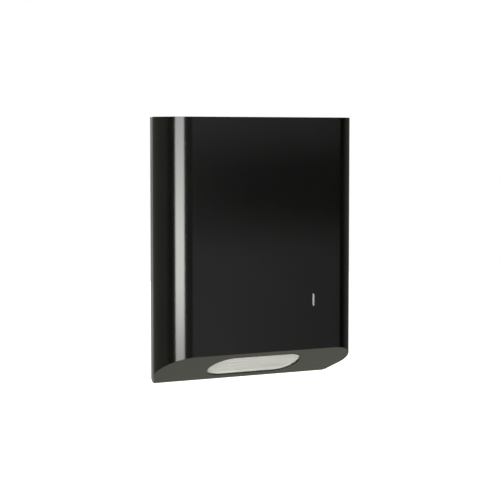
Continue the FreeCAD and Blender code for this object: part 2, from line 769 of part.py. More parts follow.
def latch_spacer():
    """Ring between the front sheet and the lever."""
    body = new_body("latch_spacer")
    disc(body, "XZ", inner_front, [pivot_spot], s.spacer_radius, s.lever_stand - s.lever_play, back=True)
    drill(body, "XZ", inner_front, [pivot_spot], s.stud_radius, s.lever_stand * 4)
    return body


def latch_clip():
    """Push-on ring that keeps the lever on the stud."""
    body = new_body("latch_clip")
    place = lever_rear - s.lever_play
    disc(body, "XZ", place, [pivot_spot], s.ring_radius, s.ring_length, back=True)
    drill(body, "XZ", place, [pivot_spot], s.stud_radius, s.ring_length * 4)
    return body


def latch_stops():
    """Two pins welded to the inside of the front, which end the turn of the lever."""
    body = new_body("latch_stops")
    stop_x = pivot_x - s.stop_x
    disc(body, "XZ", inner_front, [(stop_x, stop_low), (stop_x, stop_high)], s.stop_radius,
         s.lever_stand + s.lever_sheet, back=True)
    return body


# ---------------------------------------------------------------- latch

def latch_lever():
    """Flat lever on the stud: a key arm with a plate for the tab, and a hook arm bent back."""
    body = new_body("latch_lever")
    disc(body, "XZ", lever_rear, [pivot_spot], s.hub_radius, s.lever_sheet)
    block(body, "XZ", lever_rear, (key_x, key_height - s.lever_half),
          (pivot_x, key_height + s.lever_half), s.lever_sheet)
    half_width = s.tab_width / 2 - s.tab_gap
    half_height = s.tab_height / 2 - s.tab_gap
    block(body, "XZ", lever_rear, (key_x - half_width, key_height - half_height),
          (key_x + half_width, key_height + half_height), s.lever_sheet)
    hook_top = key_height + s.hook_height
    block(body, "XZ", lever_rear, (pivot_x, key_height), (hook_out, hook_top), s.lever_sheet)
    tooth_rear = tooth_front - s.tooth_length
    notch_top = key_height + s.notch_height
    sketch = new_sketch(body, "YZ", hook_x)
    draw_outline(sketch, [(-lever_front, key_height), (-lever_front, hook_top), (-tooth_rear, hook_top),
                          (-tooth_rear, key_height), (-tooth_front, key_height),
                          (-tooth_front, notch_top), (-lever_rear, notch_top),
                          (-lever_rear, key_height)])
    pad(body, sketch, s.lever_sheet)
    drill(body, "XZ", lever_rear, [pivot_spot], s.stud_radius + s.latch_play, s.lever_sheet * 4)
    drill(body, "XZ", lever_rear, tab_rivet_spots, s.rivet_radius, s.lever_sheet * 4)
    return body


def latch_tab():
    """Bright pad on the lever, close behind the key slot."""
    body = new_body("latch_tab")
    half_width = s.tab_width / 2
    half_height = s.tab_height / 2
    thickness = s.lever_stand - s.tab_gap
    block(body, "XZ", lever_front, (key_x - half_width, key_height - half_height),
          (key_x + half_width, key_height + half_height), thickness)
    drill(body, "XZ", lever_front, tab_rivet_spots, s.rivet_radius, thickness * 4)
    return body


def tab_rivets():
    """Two flush rivets that hold the tab on the lever."""
    body = new_body("tab_rivets")
    disc(body, "XZ", lever_rear, tab_rivet_spots, s.rivet_radius,
         s.lever_sheet + s.lever_stand - s.tab_gap)
    return body


# ---------------------------------------------------------------- build, test and write

def build():
    pieces = [wall_tray(), towel_cradle(), hinge_clips(), striker(), cover_buffers()]
    pieces.append(wall_rivets("guide_rivets", guide_rivet_spots, s.tray_sheet + s.guide_sheet))
    pieces.append(wall_rivets("bracket_rivets", bracket_rivet_spots, s.tray_sheet + s.bracket_sheet))
    pieces += [cradle_rivets(), striker_rivets(), towel_stack()]
    pieces += [cover_wrap(), cover_top(), cover_bottom()]
    for name, side in (("left", -1), ("right", 1)):
        pieces.append(side_guide("side_guide_" + name, side))
        pieces.append(hinge_bracket("hinge_bracket_" + name, side))
        pieces.append(hinge_pin("hinge_pin_" + name, side))
        pieces.append(hinge_ear("hinge_ear_" + name, side))
        pieces.append(hinge_bush("hinge_bush_" + name, side))
    pieces += [latch_stud(), latch_spacer(), latch_clip(), latch_stops()]
    pieces += [latch_lever(), latch_tab(), tab_rivets()]
    return pieces


def write(pieces):
    """Tests every object and every shape, and only then writes the files."""
    doc.recompute()
    for item in doc.Objects:
        if "Invalid" in item.State or "Error" in item.State:
            raise RuntimeError(f"{item.Label}: {item.State}")
    for piece in pieces:
        if piece.Shape.isNull() or not piece.Shape.isValid() or not piece.Shape.Solids:
            raise RuntimeError(f"{piece.Label}: no valid solid")
    os.makedirs("parts", exist_ok=True)
    for piece in pieces:
        piece.Shape.exportStep(os.path.join("parts", piece.Label + ".step"))
        box = piece.Shape.BoundBox
        print(f"{piece.Label:22s} solids {len(piece.Shape.Solids)}  volume {piece.Shape.Volume:12.1f}"
              f"  X {box.XMin:8.2f} {box.XMax:8.2f}  Y {box.YMin:8.2f} {box.YMax:8.2f}"
              f"  Z {box.ZMin:8.2f} {box.ZMax:8.2f}")


write(build())
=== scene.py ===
import contextlib
import json
import math

import bmesh
import bpy
import numpy as np
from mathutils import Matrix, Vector

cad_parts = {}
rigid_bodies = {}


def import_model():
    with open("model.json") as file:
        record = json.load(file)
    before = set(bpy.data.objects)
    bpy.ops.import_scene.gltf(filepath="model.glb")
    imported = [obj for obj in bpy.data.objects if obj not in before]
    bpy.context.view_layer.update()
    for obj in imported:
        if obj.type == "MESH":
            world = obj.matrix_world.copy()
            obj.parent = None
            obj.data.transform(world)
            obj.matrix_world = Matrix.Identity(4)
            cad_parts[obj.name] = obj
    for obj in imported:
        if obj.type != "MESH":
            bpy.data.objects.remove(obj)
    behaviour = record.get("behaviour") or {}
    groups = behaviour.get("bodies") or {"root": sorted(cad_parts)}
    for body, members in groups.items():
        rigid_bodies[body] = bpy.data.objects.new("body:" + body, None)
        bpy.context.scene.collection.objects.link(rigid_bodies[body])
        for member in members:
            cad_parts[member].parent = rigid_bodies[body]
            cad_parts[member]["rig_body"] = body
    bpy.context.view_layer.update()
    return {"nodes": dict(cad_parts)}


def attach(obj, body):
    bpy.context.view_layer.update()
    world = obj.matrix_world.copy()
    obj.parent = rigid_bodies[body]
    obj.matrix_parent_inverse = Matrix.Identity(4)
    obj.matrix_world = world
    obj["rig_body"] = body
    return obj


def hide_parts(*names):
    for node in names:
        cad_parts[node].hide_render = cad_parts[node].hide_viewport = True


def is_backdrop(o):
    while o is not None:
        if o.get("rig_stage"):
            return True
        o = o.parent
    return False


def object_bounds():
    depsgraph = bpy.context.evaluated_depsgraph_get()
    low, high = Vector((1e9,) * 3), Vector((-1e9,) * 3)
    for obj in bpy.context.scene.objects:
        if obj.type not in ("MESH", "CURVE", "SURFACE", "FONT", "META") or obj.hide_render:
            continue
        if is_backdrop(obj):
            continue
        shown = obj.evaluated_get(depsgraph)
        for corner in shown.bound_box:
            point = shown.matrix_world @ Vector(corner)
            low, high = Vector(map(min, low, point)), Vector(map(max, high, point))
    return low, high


# A wall-hung cabinet for folded paper towels. Lengths are metres. The wall is the plane y = 0, the front
# looks along -y, and a depth is a distance from the wall, so it lies at y = -depth.

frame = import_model()


# ---------------------------------------------------------------- sizes that the pieces share

TOP = 0.187
FRONT = 0.092                     # depth of the cover's front
COVER_REAR = 0.014                # depth of the cover's rear edges
COVER_SHEET = 0.0012
FLAT_HALF = 0.115                 # half width of the flat front
CORNER = 0.0445                   # outside radius of the two long corners
CORNER_DEPTH = FRONT - CORNER
BACK_CORNER = 0.0285              # outside radius of the corners' rear stretch
BACK_TURN = math.radians(82)      # turn at which the rear stretch starts
SIDE_TURN = math.radians(117.65)  # turn at which the sides go on straight to the rear edges
BACK_WAY = CORNER * BACK_TURN     # way round a corner to the start of its rear stretch
SIDE_WAY = BACK_WAY + BACK_CORNER * (SIDE_TURN - BACK_TURN)
HEEL = -0.2069                    # height at which the slanted underside would meet the wall
SLOPE = math.radians(30)

SLOT_X = 0.0007                   # middle of the towel slot, sideways
SLOT_MIDDLE = 0.05928             # from the wall up the slope to the middle of the towel slot
SLOT_HALF = 0.0748
SLOT_RADIUS = 0.03175
KEY_X = 0.0786
KEY_HEIGHT = -0.0809
KEY_HALF = 0.0093
KEY_RADIUS = 0.0019
KEY_WINDOW = (0.008, 0.0145)      # half width and half height of the finer net round the key slot

TRAY_HALF = 0.14299
TRAY_DEPTH = 0.0115
TRAY_SHEET = 0.0015
TRAY_BEND = 0.0006                # outside radius where the tray's sides and top turn forward
BEND_RADIUS = 0.0095              # outside radius of the tray's bottom bend
BEND_HEIGHT = -0.19045            # height at which the bottom bend starts
SCREW_X = 0.1
SCREW_Z = 0.125
SCREW_RADIUS = 0.00275

CRADLE_SHEET = 0.0012
CRADLE_LIFT = 0.0037              # from the outside of the underside up to the cradle
CRADLE_REAR = 0.0145              # depth of the cradle's rear edge
OPENING_HALF = 0.07725            # the cradle's opening
OPENING_RADIUS = 0.0335
GUIDE_SHEET = 0.0012
GUIDE_X = 0.124                   # from the middle to the inside of the guides
BRACKET_SHEET = 0.002
STRIKER_SHEET = 0.0015
LEVER_REAR = 0.085                # depth of the rear of the latch lever
HINGE_DEPTH = 0.022
HINGE_HEIGHT = 0.1818
BRACKET_X = 0.12963               # from the middle to the inside of the hinge brackets

RIVET_RADIUS = 0.0016
RIVET_PLAY = 0.00003              # play of a rivet's shank in its hole
RIVET_HEAD = 0.003
RIVET_RISE = 0.0011
RIVET_X = 0.1312                  # guide and cradle rivets, sideways
BRACKET_RIVET_X = 0.12863

FRONT_EDGE = 0.00012              # widths of the rounding along cut edges
PLATE_EDGE = 0.0001
TRAY_EDGE = 0.0004

TOWEL_HALF = 0.123
TOWEL_REAR = 0.0025
TOWEL_FRONT = 0.0825
TOWEL_TOP = 0.044
TOWEL_FOOT = 0.0052               # from the outside of the underside up to the towels


def slope_height(depth, lift=0.0):
    """Height, at a depth, of the plane that lies the lift above the outside of the slanted underside."""
    return HEEL + (depth * math.sin(SLOPE) + lift) / math.cos(SLOPE)


def on_slope(x, way, lift):
    """Point x to the side, a way up the slope, and the lift off the outside of the underside."""
    return (x, -way * math.cos(SLOPE) + lift * math.sin(SLOPE),
            HEEL + way * math.sin(SLOPE) + lift * math.cos(SLOPE))


# ---------------------------------------------------------------- nets of points and faces

def lines(first, *stretches):
    """Values from first on, in even steps: each stretch gives where it ends and its number of steps."""
    values = [np.array([float(first)])]
    for end, steps in stretches:
        values.append(np.linspace(values[-1][-1], end, steps + 1)[1:])
    return np.concatenate(values)


def net(rows, columns, loop=False):
    """Four-sided faces between points that are numbered row by row; a loop joins the last column to the
    first."""
    start = np.arange(rows - 1)[:, None] * columns
    column = np.arange(columns if loop else columns - 1)[None, :]
    next_column = (column + 1) % columns
    corners = [start + column, start + next_column, start + columns + next_column, start + columns + column]
    return np.stack(corners, -1).reshape(-1, 4)


def rim_points(outer, middle, straight, radius, upright=False):
    """Where straight lines from the outer points to the middle of a slot with round ends cross its rim.
    A line that crosses a straight side does so radius / sine from the middle; any other crosses the end
    circle, whose centre lies the straight length away."""
    angles = np.arctan2(outer[:, 1] - middle[1], outer[:, 0] - middle[0])
    rays = np.stack([np.cos(angles), np.sin(angles)], -1)
    side, along = np.abs(rays if upright else rays[:, ::-1]).T
    to_side = radius / np.maximum(side, 1e-9)
    to_end = straight * along + np.sqrt(np.maximum(radius ** 2 - (straight * side) ** 2, 0))
    reach = np.where(to_side * along <= straight, to_side, to_end)
    return middle + reach[:, None] * rays


def pierced_net(across, up, holes):
    """Flat net over the lines across and up, with holes. A hole is (middle, straight, radius, window).
    Its window, two opposite corners on the lines, loses its cells, and rings of faces run from the
    window's rim to the hole's rim, each point straight towards the hole's middle."""
    rows, columns = len(up), len(across)
    grid = np.stack(np.meshgrid(across, up), -1).reshape(-1, 2)
    faces = net(rows, columns)
    cells = grid[faces].mean(1)
    number = np.arange(rows * columns).reshape(rows, columns)
    keep = np.ones(len(faces), bool)
    points, rings = [grid], []
    total = len(grid)
    for middle, straight, radius, window in holes:
        low, high = np.array(window)
        keep &= ~np.all((cells > low) & (cells < high), axis=1)
        left, right = [int(np.argmin(np.abs(across - value))) for value in (low[0], high[0])]
        bottom, top = [int(np.argmin(np.abs(up - value))) for value in (low[1], high[1])]
        rim = np.concatenate([number[bottom, left:right], number[bottom:top, right],
                              number[top, right:left:-1], number[top:bottom:-1, left]])
        outer = grid[rim]
        inner = rim_points(outer, middle, straight, radius, upright=True)
        loops = [rim]
        for share in (0.45, 0.8, 1.0):
            points.append(outer * (1 - share) + inner * share)
            loops.append(total + np.arange(len(rim)))
            total += len(rim)
        for first, second in zip(loops, loops[1:]):
            rings.append(np.stack([first, np.roll(first, -1), np.roll(second, -1), second], -1))
    return np.concatenate(points), np.concatenate([faces[keep], *rings])


def doubled(outer, inner, faces):
    """Closed net of two nets that share their faces: the inner one turned over, and along every open
    edge (an edge that no second face goes back along) a strip of faces between the two."""
    count = len(outer)
    edges = np.stack([faces, np.roll(faces, -1, axis=1)], -1).reshape(-1, 2)
    open_edge = ~np.isin(edges[:, 0] * count + edges[:, 1], edges[:, 1] * count + edges[:, 0])
    start, end = edges[open_edge].T
    strips = np.stack([end, start, start + count, end + count], -1)
    return np.concatenate([outer, inner]), np.concatenate([faces, faces[:, ::-1] + count, strips])


def turned(profile, starts, direction, steps=28):
    """The same turned part at every start: the profile's points (radius, way along the direction) are
    carried round the direction."""
    profile = np.array(profile, float)
    starts = np.array(starts, float)
    direction = np.array(direction, float)
    side = np.roll(direction, 1)
    up = np.cross(direction, side)
    turn = np.linspace(0, 2 * math.pi, steps, endpoint=False)
    ring = np.cos(turn)[:, None] * side + np.sin(turn)[:, None] * up
    shape = profile[:, 0, None, None] * ring + (profile[:, 1, None] * direction)[:, None, :]
    points = starts[:, None, None, :] + shape
    faces = net(len(profile), steps, loop=True)
    jumps = np.arange(len(starts))[:, None, None] * len(profile) * steps
    return points.reshape(-1, 3), (faces + jumps).reshape(-1, 4)


# ---------------------------------------------------------------- pieces

@contextlib.contextmanager
def reworked(mesh):
    """Lends a mesh out for work on its points and faces, and puts the result back into it."""
    work = bmesh.new()
    work.from_mesh(mesh)
    yield work
    work.to_mesh(mesh)
    work.free()


def make_piece(name, points, faces, body, finish, replaced=(), slot=None, closed=False, crease=None):
    """One mesh in the frame. Points that no face uses are left out. A closed piece has its doubles
    merged and its faces turned outwards. Edges sharper than crease degrees stay sharp."""
    used, faces = np.unique(faces, return_inverse=True)
    mesh = bpy.data.meshes.new(name)
    mesh.from_pydata(points[used].tolist(), [], faces.reshape(-1, 4).tolist())
    if closed:
        with reworked(mesh) as work:
            bmesh.ops.remove_doubles(work, verts=work.verts, dist=1e-7)
            bmesh.ops.recalc_face_normals(work, faces=work.faces)
    return finish_piece(name, mesh, body, finish, replaced, crease)


def finish_piece(name, mesh, body, finish, replaced, crease=None):
    """Object on a mesh, smooth and in its finish, that rides on a body in place of CAD nodes."""
    mesh.shade_smooth()
    if crease:
        mesh.set_sharp_from_angle(angle=math.radians(crease))
    mesh.materials.clear()
    mesh.materials.append(finish)
    piece = bpy.data.objects.new(name, mesh)
    bpy.context.scene.collection.objects.link(piece)
    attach(piece, body)
    if replaced:
        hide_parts(*replaced)
    return piece


def thicken(piece, sheet, edge):
    """Gives a surface its sheet thickness, inwards, and rounds the cut edges."""
    wall = piece.modifiers.new("sheet", "SOLIDIFY")
    wall.thickness = sheet
    wall.offset = -1
    wall.use_even_offset = True
    round_edges(piece, edge)


def round_edges(piece, edge):
    """Rounds every edge at which the faces turn by more than 38 degrees."""
    rim = piece.modifiers.new("edges", "BEVEL")
    rim.width = edge
    rim.segments = 3
    rim.limit_method = "ANGLE"
    rim.angle_limit = math.radians(38)
    rim.harden_normals = True


def rounded_node(node, finish, edge=0.00025):
    """Copy of a CAD node: its loose triangles are joined, its flat areas merged and its edges rounded."""
    source = frame["nodes"][node]
    mesh = source.data.copy()
    mesh.name = node + "_rounded"
    with reworked(mesh) as work:
        bmesh.ops.remove_doubles(work, verts=work.verts, dist=2e-6)
        bmesh.ops.dissolve_limit(work, angle_limit=math.radians(0.6), verts=work.verts, edges=work.edges,
                                 delimit={"NORMAL"})
    for name in ("custom_normal", "sharp_face", "sharp_edge"):
        if name in mesh.attributes:
            mesh.attributes.remove(mesh.attributes[name])
    piece = finish_piece(node + "_rounded", mesh, source["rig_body"], finish, [node])
    round_edges(piece, edge)
    return piece


# ---------------------------------------------------------------- shader nodes

def add_node(tree, kind, inputs, **settings):
    """A node with its settings. The inputs give, by a socket's name or number, its fixed value or the
    output that feeds it."""
    node = tree.nodes.new(kind)
    for name, value in settings.items():
        setattr(node, name, value)
    for name, value in inputs.items():
        if isinstance(value, bpy.types.NodeSocket):
            tree.links.new(value, node.inputs[name])
        else:
            node.inputs[name].default_value = value
    return node


def new_group(name, inputs, outputs):
    """Shader node group with named inputs (kind and value) and outputs, and its two ends' sockets."""
    tree = bpy.data.node_groups.new(name, "ShaderNodeTree")
    for label, (kind, value) in inputs.items():
        socket = tree.interface.new_socket(name=label, in_out="INPUT", socket_type="NodeSocket" + kind)
        if value is not None:
            socket.default_value = value
    for label, kind in outputs.items():
        tree.interface.new_socket(name=label, in_out="OUTPUT", socket_type="NodeSocket" + kind)
    return tree, tree.nodes.new("NodeGroupInput").outputs, tree.nodes.new("NodeGroupOutput").inputs


def noise_on(tree, place, scale, detail, roughness=0.55):
    """Height of a noise on a place."""
    noise = add_node(tree, "ShaderNodeTexNoise",
                     {"Vector": place, "Scale": scale, "Detail": detail, "Roughness": roughness})
    return noise.outputs["Fac"]


def span(tree, noise, low, high):
    """Stretches a noise from its usual range over low to high."""
    change = add_node(tree, "ShaderNodeMapRange",
                      {"Value": noise, "From Min": 0.3, "From Max": 0.7, "To Min": low, "To Max": high})
    return change.outputs["Result"]


def bump_of(tree, height, distance, **more):
    """Normal of a surface that rises by a height times the distance."""
    bump = add_node(tree, "ShaderNodeBump", {"Height": height, "Distance": distance, **more})
    return bump.outputs["Normal"]


def patches_group():
    """Slow patches between two values, for gloss that varies a little from handling and dust."""
    tree, start, end = new_group(
        "patches",
        {"Place": ("Vector", None), "Scale": ("Float", 6.0), "Low": ("Float", 0.2), "High": ("Float", 0.3)},
        {"Value": "Float"})
    noise = noise_on(tree, start["Place"], start["Scale"], detail=5.0, roughness=0.6)
    tree.links.new(span(tree, noise, start["Low"], start["High"]), end["Value"])
    return tree


def ripple_group():
    """The fine ripple of a baked paint film, as a normal."""
    tree, start, end = new_group(
        "paint ripple",
        {"Place": ("Vector", None), "Scale": ("Float", 900.0), "Height": ("Float", 0.00002)},
        {"Normal": "Vector"})
    noise = noise_on(tree, start["Place"], start["Scale"], detail=1.5)
    tree.links.new(bump_of(tree, noise, start["Height"]), end["Normal"])
    return tree


def rolled_group():
    """Fine lines along one direction, upright unless told otherwise, as rolled or drawn steel shows them.
    Stretch shortens the lines' direction before the noise, so the noise is drawn out along it."""
    tree, start, end = new_group(
        "rolled lines",
        {"Place": ("Vector", None), "Stretch": ("Vector", (1.0, 1.0, 0.02)), "Scale": ("Float", 1500.0),
         "Low": ("Float", 0.25), "High": ("Float", 0.4), "Height": ("Float", 0.00001)},
        {"Value": "Float", "Normal": "Vector"})
    drawn = add_node(tree, "ShaderNodeVectorMath", {0: start["Place"], 1: start["Stretch"]},
                     operation="MULTIPLY")
    noise = noise_on(tree, drawn.outputs["Vector"], start["Scale"], detail=2.0)
    tree.links.new(span(tree, noise, start["Low"], start["High"]), end["Value"])
    tree.links.new(bump_of(tree, noise, start["Height"]), end["Normal"])
    return tree


PATCHES = patches_group()
RIPPLE = ripple_group()
ROLLED = rolled_group()


# ---------------------------------------------------------------- finishes

def new_material(name, color, roughness, **values):
    """Material with its Principled shader's inputs, and the output that gives the place on the piece."""
    material = bpy.data.materials.new(name)
    material.use_nodes = True
    tree = material.node_tree
    shader = tree.nodes["Principled BSDF"].inputs
    for label, value in {"Base Color": (*color, 1.0), "Roughness": roughness, **values}.items():
        shader[label].default_value = value
    return material, tree, shader, tree.nodes.new("ShaderNodeTexCoord").outputs["Object"]


def place_group(tree, group, place, **values):
    """A shader node group on a place, with a material's own values; gives the group's outputs."""
    return add_node(tree, "ShaderNodeGroup", {"Place": place, **values}, node_tree=group).outputs


def blend_colors(tree, factor, first, second):
    """Colour between two fixed ones by a varying factor."""
    ramp = add_node(tree, "ShaderNodeValToRGB", {"Fac": factor})
    for stop, color, position in zip(ramp.color_ramp.elements, (first, second), (0.3, 0.7)):
        stop.color = (*color, 1.0)
        stop.position = position
    return ramp.outputs["Color"]


def patched_color(tree, place, scale, dark, light):
    """Two close colours in slow patches."""
    patches = place_group(tree, PATCHES, place, Scale=scale, Low=0.0, High=1.0)
    return blend_colors(tree, patches["Value"], dark, light)


def coated(name, dark, light, gloss, scales, ripple_height, shine=0.5):
    """Paint, plastic or rubber: patches of colour and gloss and a fine ripple, each with its scale."""
    material, tree, shader, place = new_material(name, dark, gloss[0], **{"Specular IOR Level": shine})
    tree.links.new(patched_color(tree, place, scales[0], dark, light), shader["Base Color"])
    film = place_group(tree, PATCHES, place, Scale=scales[1], Low=gloss[0], High=gloss[1])
    tree.links.new(film["Value"], shader["Roughness"])
    ripple = place_group(tree, RIPPLE, place, Scale=scales[2], Height=ripple_height)
    tree.links.new(ripple["Normal"], shader["Normal"])
    return material


def steel(name, dark, light, gloss):
    """Bare steel: rolled lines in its gloss and surface, and slow patches in its colour."""
    material, tree, shader, place = new_material(name, dark, gloss[0], Metallic=1.0)
    tree.links.new(patched_color(tree, place, 60.0, dark, light), shader["Base Color"])
    rolled = place_group(tree, ROLLED, place, Low=gloss[0], High=gloss[1])
    tree.links.new(rolled["Value"], shader["Roughness"])
    tree.links.new(rolled["Normal"], shader["Normal"])
    return material


def paper(name, dark, light):
    """Soft paper: long faint crease lines across the towel, with painted shade that darkens the colour in
    their troughs, cloudy fibres, and a small rough surface.
    """
    material, tree, shader, place = new_material(
        name, dark, 0.9, **{"Specular IOR Level": 0.2, "Sheen Weight": 0.15})
    creases_and_painted_shade = place_group(tree, ROLLED, place, Stretch=(0.03, 1.0, 1.0), Scale=420.0, Low=0.0, High=1.0,
                          Height=0.00006)
    # The colour goes from the lighter white to the darker one where the crease lines sink: painted shade in
    # the creases.
    tree.links.new(blend_colors(tree, creases_and_painted_shade["Value"], dark, light), shader["Base Color"])
    fibres = noise_on(tree, place, 2600.0, detail=4.0, roughness=0.5)
    normal = bump_of(tree, fibres, 0.00008, Strength=0.6, Normal=creases_and_painted_shade["Normal"])
    tree.links.new(normal, shader["Normal"])
    return material


PAINT_SCALES = (7.0, 23.0, 700.0)
MOULDED_SCALES = (150.0, 400.0, 1800.0)

BLACK_PAINT = coated("gloss_black_paint", (0.0020, 0.0020, 0.0018), (0.0028, 0.0028, 0.0025),
                     (0.151, 0.164), PAINT_SCALES, 0.000002)
GREY_PAINT = coated("grey_paint", (0.108, 0.107, 0.105), (0.129, 0.128, 0.125), (0.40, 0.50),
                    PAINT_SCALES, 0.000012, shine=0.25)
BARE_STEEL = steel("zinc_coated_steel", (0.50, 0.51, 0.52), (0.62, 0.63, 0.63), (0.26, 0.42))
BRIGHT_STEEL = steel("satin_bright_steel", (0.80, 0.80, 0.81), (0.87, 0.87, 0.885), (0.70, 0.76))
WHITE_PLASTIC = coated("white_plastic", (0.70, 0.70, 0.67), (0.76, 0.76, 0.73), (0.32, 0.42),
                       MOULDED_SCALES, 0.00002)
BLACK_RUBBER = coated("black_rubber", (0.018, 0.018, 0.018), (0.030, 0.030, 0.029), (0.62, 0.78),
                      MOULDED_SCALES, 0.00002)
# The paper's darker colour goes into the troughs of its crease lines as painted shade.
WHITE_PAPER = paper("white_paper", (0.568, 0.567, 0.526), (0.674, 0.673, 0.637))


# ---------------------------------------------------------------- cover

def cover_side(way, inset):
    """Half width and depth of the cover at a way round its corner from the flat front, the inset inside its
    outside: a large circle, a smaller one, then straight on."""
    turn = np.interp(way, [0, BACK_WAY, SIDE_WAY], [0, BACK_TURN, SIDE_TURN])
    large = np.minimum(turn, BACK_TURN)
    small = np.maximum(turn, BACK_TURN)
    straight = np.maximum(way - SIDE_WAY, 0)
    half = (FLAT_HALF + CORNER * np.sin(large) + BACK_CORNER * (np.sin(small) - math.sin(BACK_TURN))
            + straight * math.cos(SIDE_TURN) - inset * np.sin(turn))
    depth = (CORNER_DEPTH + CORNER * np.cos(large) + BACK_CORNER * (np.cos(small) - math.cos(BACK_TURN))
             - straight * math.sin(SIDE_TURN) - inset * np.cos(turn))
    return half, depth


def rear_way(inset):
    """Way round the corner at which the cover, the inset inside its outside, reaches its rear edge."""
    return SIDE_WAY + (cover_side(SIDE_WAY, inset)[1] - COVER_REAR) / math.sin(SIDE_TURN)


def cover_front_and_sides():
    """The bent sheet of the cover, its outside and inside. Across, a line runs over the flat front and on
    round the corners; up, the part below the key slot's window is squeezed so that its edge follows the
    underside."""
    corner_way = rear_way(0)
    key_middle = np.array([KEY_X, KEY_HEIGHT])
    window = key_middle - KEY_WINDOW, key_middle + KEY_WINDOW
    (left, low), (right, high) = window
    across = lines(-FLAT_HALF - corner_way, (-FLAT_HALF, 48), (left, 18), (right, 12), (FLAT_HALF, 5),
                   (FLAT_HALF + corner_way, 48))
    front_low = slope_height(FRONT)
    up = lines(front_low, (low, 6), (high, 18), (TOP, 22))
    flat, faces = pierced_net(across, up, [(key_middle, KEY_HALF - KEY_RADIUS, KEY_RADIUS, window)])
    way = np.maximum(np.abs(flat[:, 0]) - FLAT_HALF, 0)
    sides = []
    for inset in (0, COVER_SHEET):
        half, depth = cover_side(way, inset)
        x = np.where(way > 0, np.sign(flat[:, 0]) * half, flat[:, 0])
        squeeze = (low - slope_height(depth)) / (low - front_low)
        z = np.where(flat[:, 1] < low, low - (low - flat[:, 1]) * squeeze, flat[:, 1])
        sides.append(np.stack([x, -depth, z], -1))
    piece = make_piece("cover_front_and_sides", *doubled(*sides, faces), "cover", BLACK_PAINT,
                       ["cover_wrap"], "dark_steel")
    round_edges(piece, FRONT_EDGE)


def cover_plan(steps=44):
    """Half width and depth along one side of the plates inside the cover, from the rear to the front."""
    return cover_side(np.linspace(rear_way(COVER_SHEET), 0, steps + 1), COVER_SHEET)


def cover_top_plate():
    """Flat plate: across, each row spans the plan's half width to both sides at its depth."""
    half, depth = cover_plan()
    x = half[:, None] * np.linspace(-1, 1, 25)
    y = np.broadcast_to(-depth[:, None], x.shape)
    points = np.stack([x, y, np.full(x.shape, TOP)], -1).reshape(-1, 3)
    piece = make_piece("cover_top_plate", points, net(*x.shape)[:, ::-1], "cover", BLACK_PAINT,
                       ["cover_top"], "dark_steel")
    thicken(piece, COVER_SHEET, PLATE_EDGE)


def cover_bottom_plate():
    """Slanted plate with the towel slot: rings of faces run from the slot's rim to the plan's outline,
    each on a straight line from the slot's middle, in coordinates along the slope."""
    half, depth = cover_plan()
    rear = lines(-half[0], (half[0], 40))[:-1]
    front = lines(half[-1], (-half[-1], 40))[1:-1]
    outline_x = np.concatenate([rear, half, front, -half[:0:-1]])
    outline_depth = np.concatenate([np.full(len(rear), depth[0]), depth, np.full(len(front), depth[-1]),
                                    depth[:0:-1]])
    outer = np.stack([outline_x, outline_depth / math.cos(SLOPE)], -1)
    inner = rim_points(outer, (SLOT_X, SLOT_MIDDLE), SLOT_HALF - SLOT_RADIUS, SLOT_RADIUS)
    share = np.linspace(0, 1, 9)[:, None, None]
    x, way = np.moveaxis(inner * (1 - share) + outer * share, -1, 0)
    points = np.stack(on_slope(x, way, 0), -1).reshape(-1, 3)
    piece = make_piece("cover_bottom_plate", points, net(*x.shape, loop=True)[:, ::-1], "cover",
                       BLACK_PAINT, ["cover_bottom"], "dark_steel")
    thicken(piece, COVER_SHEET, PLATE_EDGE)


cover_front_and_sides()
cover_top_plate()
cover_bottom_plate()


# ---------------------------------------------------------------- wall tray

SCREW_HOLES = [(side * SCREW_X, level * SCREW_Z) for side in (-1, 1) for level in (-1, 1)]
GUIDE_RIVETS = [(side * RIVET_X, height) for side in (-1, 1) for height in (0.03, -0.06, -0.15)]
BRACKET_RIVETS = [(side * BRACKET_RIVET_X, height) for side in (-1, 1) for height in (0.1583, 0.1473)]

# The windows round the tray's holes: from, to, steps up to the window, and steps across it.
WINDOWS_ACROSS = [(0.094, 0.106, 9, 8), (0.125, 0.135, 2, 6)]
WINDOWS_UP = [(-0.155, -0.145, 4, 6), (-0.131, -0.119, 2, 8), (-0.065, -0.055, 5, 6), (0.025, 0.035, 6, 6),
              (0.119, 0.131, 6, 8), (0.1425, 0.1523, 2, 6), (0.1533, 0.1631, 1, 6)]


def window_lines(first, windows, last, steps):
    """Lines from first to last that keep to the sides of the windows, with the steps after the windows."""
    stretches = []
    for start, end, before, inside in windows:
        stretches += [(start, before), (end, inside)]
    return lines(first, *stretches, (last, steps))


def window_round(x, z):
    """Two opposite corners of the window that a hole lies in; left of the middle the windows mirror."""
    across = [window[:2] for window in WINDOWS_ACROSS if window[0] < abs(x) < window[1]][0]
    up = [window[:2] for window in WINDOWS_UP if window[0] < z < window[1]][0]
    return tuple(zip(sorted(math.copysign(side, x) for side in across), up))


